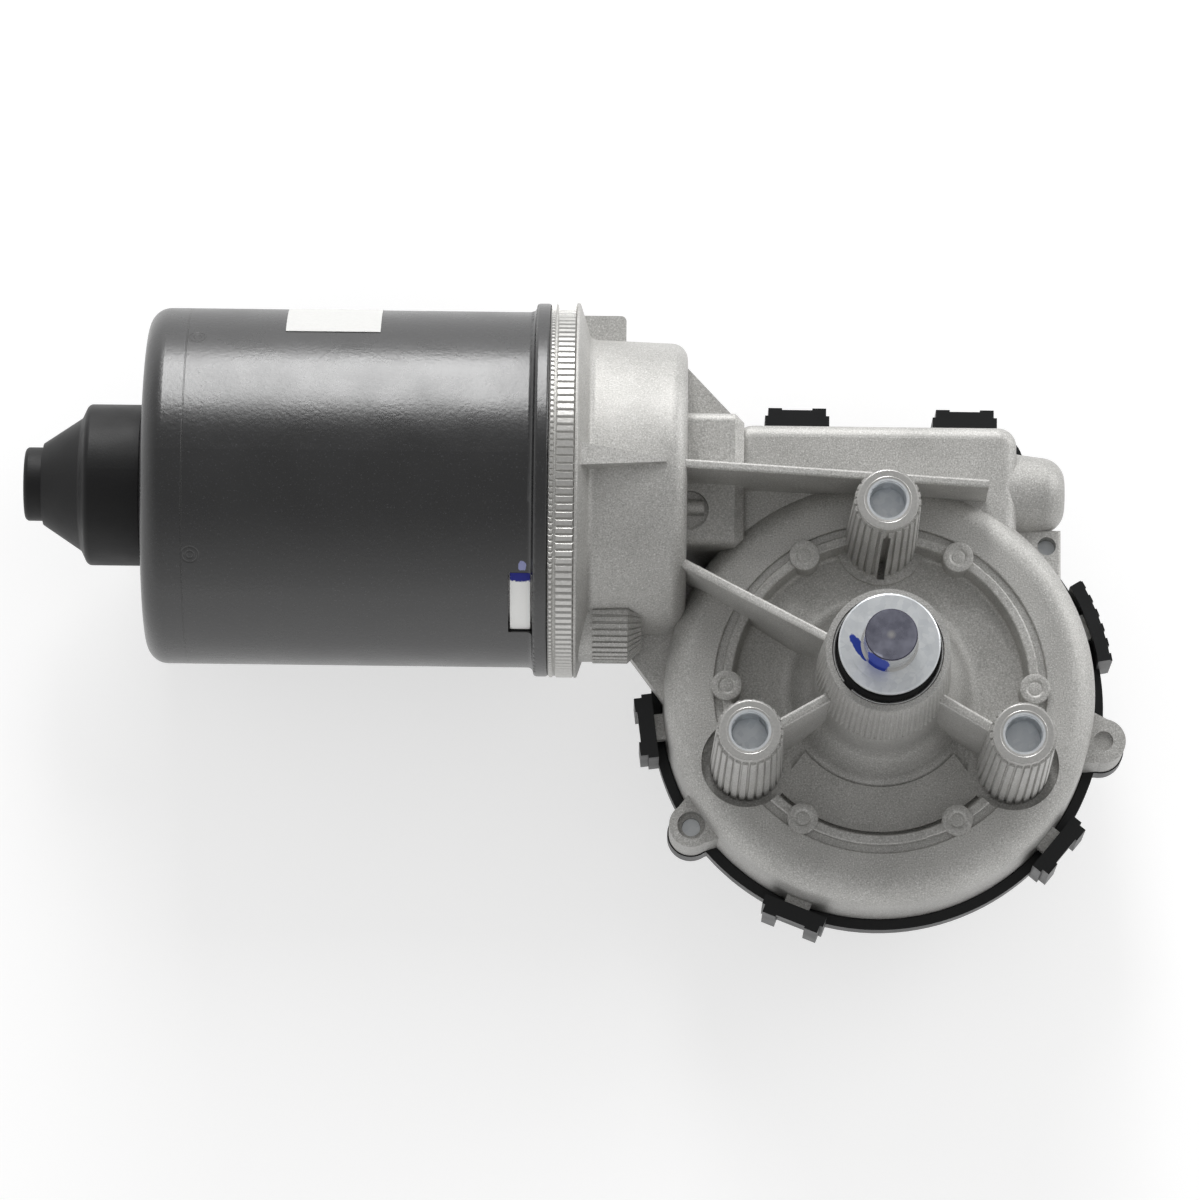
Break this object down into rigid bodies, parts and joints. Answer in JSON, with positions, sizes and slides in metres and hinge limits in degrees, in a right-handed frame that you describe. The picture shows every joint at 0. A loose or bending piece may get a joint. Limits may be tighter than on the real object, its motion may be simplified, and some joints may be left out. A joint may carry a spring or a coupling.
{
  "type": "wiper motor",
  "caption": "Windscreen wiper gear motor: painted motor can, die-cast worm gearbox with mounting posts and upright output shaft, clipped back cover.",
  "frame": {"origin": "point on the output shaft's axis, in the plane of the three posts' seating faces", "axes": "+Z along the output shaft, away from the back cover; +X along the motor, from the rubber cap to the gear end; +Y to the worm's side"},
  "size_m": [0.239, 0.137, 0.1145],
  "materials": {
    "cast_aluminium": "satin, pressure die cast",
    "can_paint": "satin black paint over deep-drawn steel",
    "black_rubber": "matte",
    "black_plastic": "moulded, fine texture",
    "zinc_plate": "zinc-plated, semi-bright",
    "steel": "machined",
    "wheel_plastic": "moulded acetal",
    "ferrite": "matte ground",
    "lamination": "stacked and varnished",
    "copper": "enamelled or bare copper",
    "bronze": "sintered, oil filled",
    "brass": "stamped",
    "carbon": "pressed carbon",
    "phenolic": "laminated board",
    "label_paper": "coated paper, on the can"
  },
  "bodies": {
    "housing": {"gear_housing": "cast_aluminium", "post_inserts": "zinc_plate", "motor_can": "can_paint", "end_cap": "black_rubber", "magnets": "ferrite", "magnet_clips": "steel", "rear_bush": "bronze", "bush_washer": "steel", "rear_thrust_disc": "wheel_plastic", "bearing_outer_race": "steel", "bearing_retainer": "zinc_plate", "retainer_screws": "zinc_plate", "front_bush": "bronze", "thrust_pad": "wheel_plastic", "can_seal": "black_rubber", "brush_card": "phenolic", "brush_tubes": "brass", "brushes": "carbon", "brush_springs": "steel", "choke_cores": "ferrite", "choke_coils": "copper", "feed_strips": "brass", "boss_bushes": "bronze", "shaft_seal": "black_rubber", "seal_ring": "steel", "contact_fingers": "brass", "cover_gasket": "black_rubber", "back_cover": "black_plastic", "connector_pins": "brass", "cover_screws": "zinc_plate"},
    "armature": {"armature_shaft": "steel", "armature_core": "lamination", "armature_winding": "copper", "commutator_bars": "copper", "commutator_hub": "phenolic", "bearing_inner_race": "steel", "bearing_balls": "steel", "bearing_cage": "brass"},
    "output": {"output_shaft": "steel", "worm_wheel": "wheel_plastic", "wheel_hub": "steel", "contact_disc": "brass", "dust_washer": "zinc_plate", "shaft_circlip": "steel", "thrust_washer": "steel"}
  },
  "joints": [
    {"name": "armature_spin", "type": "hinge", "parent": "housing", "child": "armature", "pos_m": [0, 0.045, -0.052], "axis": [1, 0, 0], "continuous": true},
    {"name": "output_spin", "type": "hinge", "parent": "housing", "child": "output", "pos_m": [0, 0, 0], "axis": [0, 0, 1], "continuous": true}
  ],
  "couplings": [
    {"joint": "output_spin", "follows": "armature_spin", "ratio": 0.016667}
  ]
}
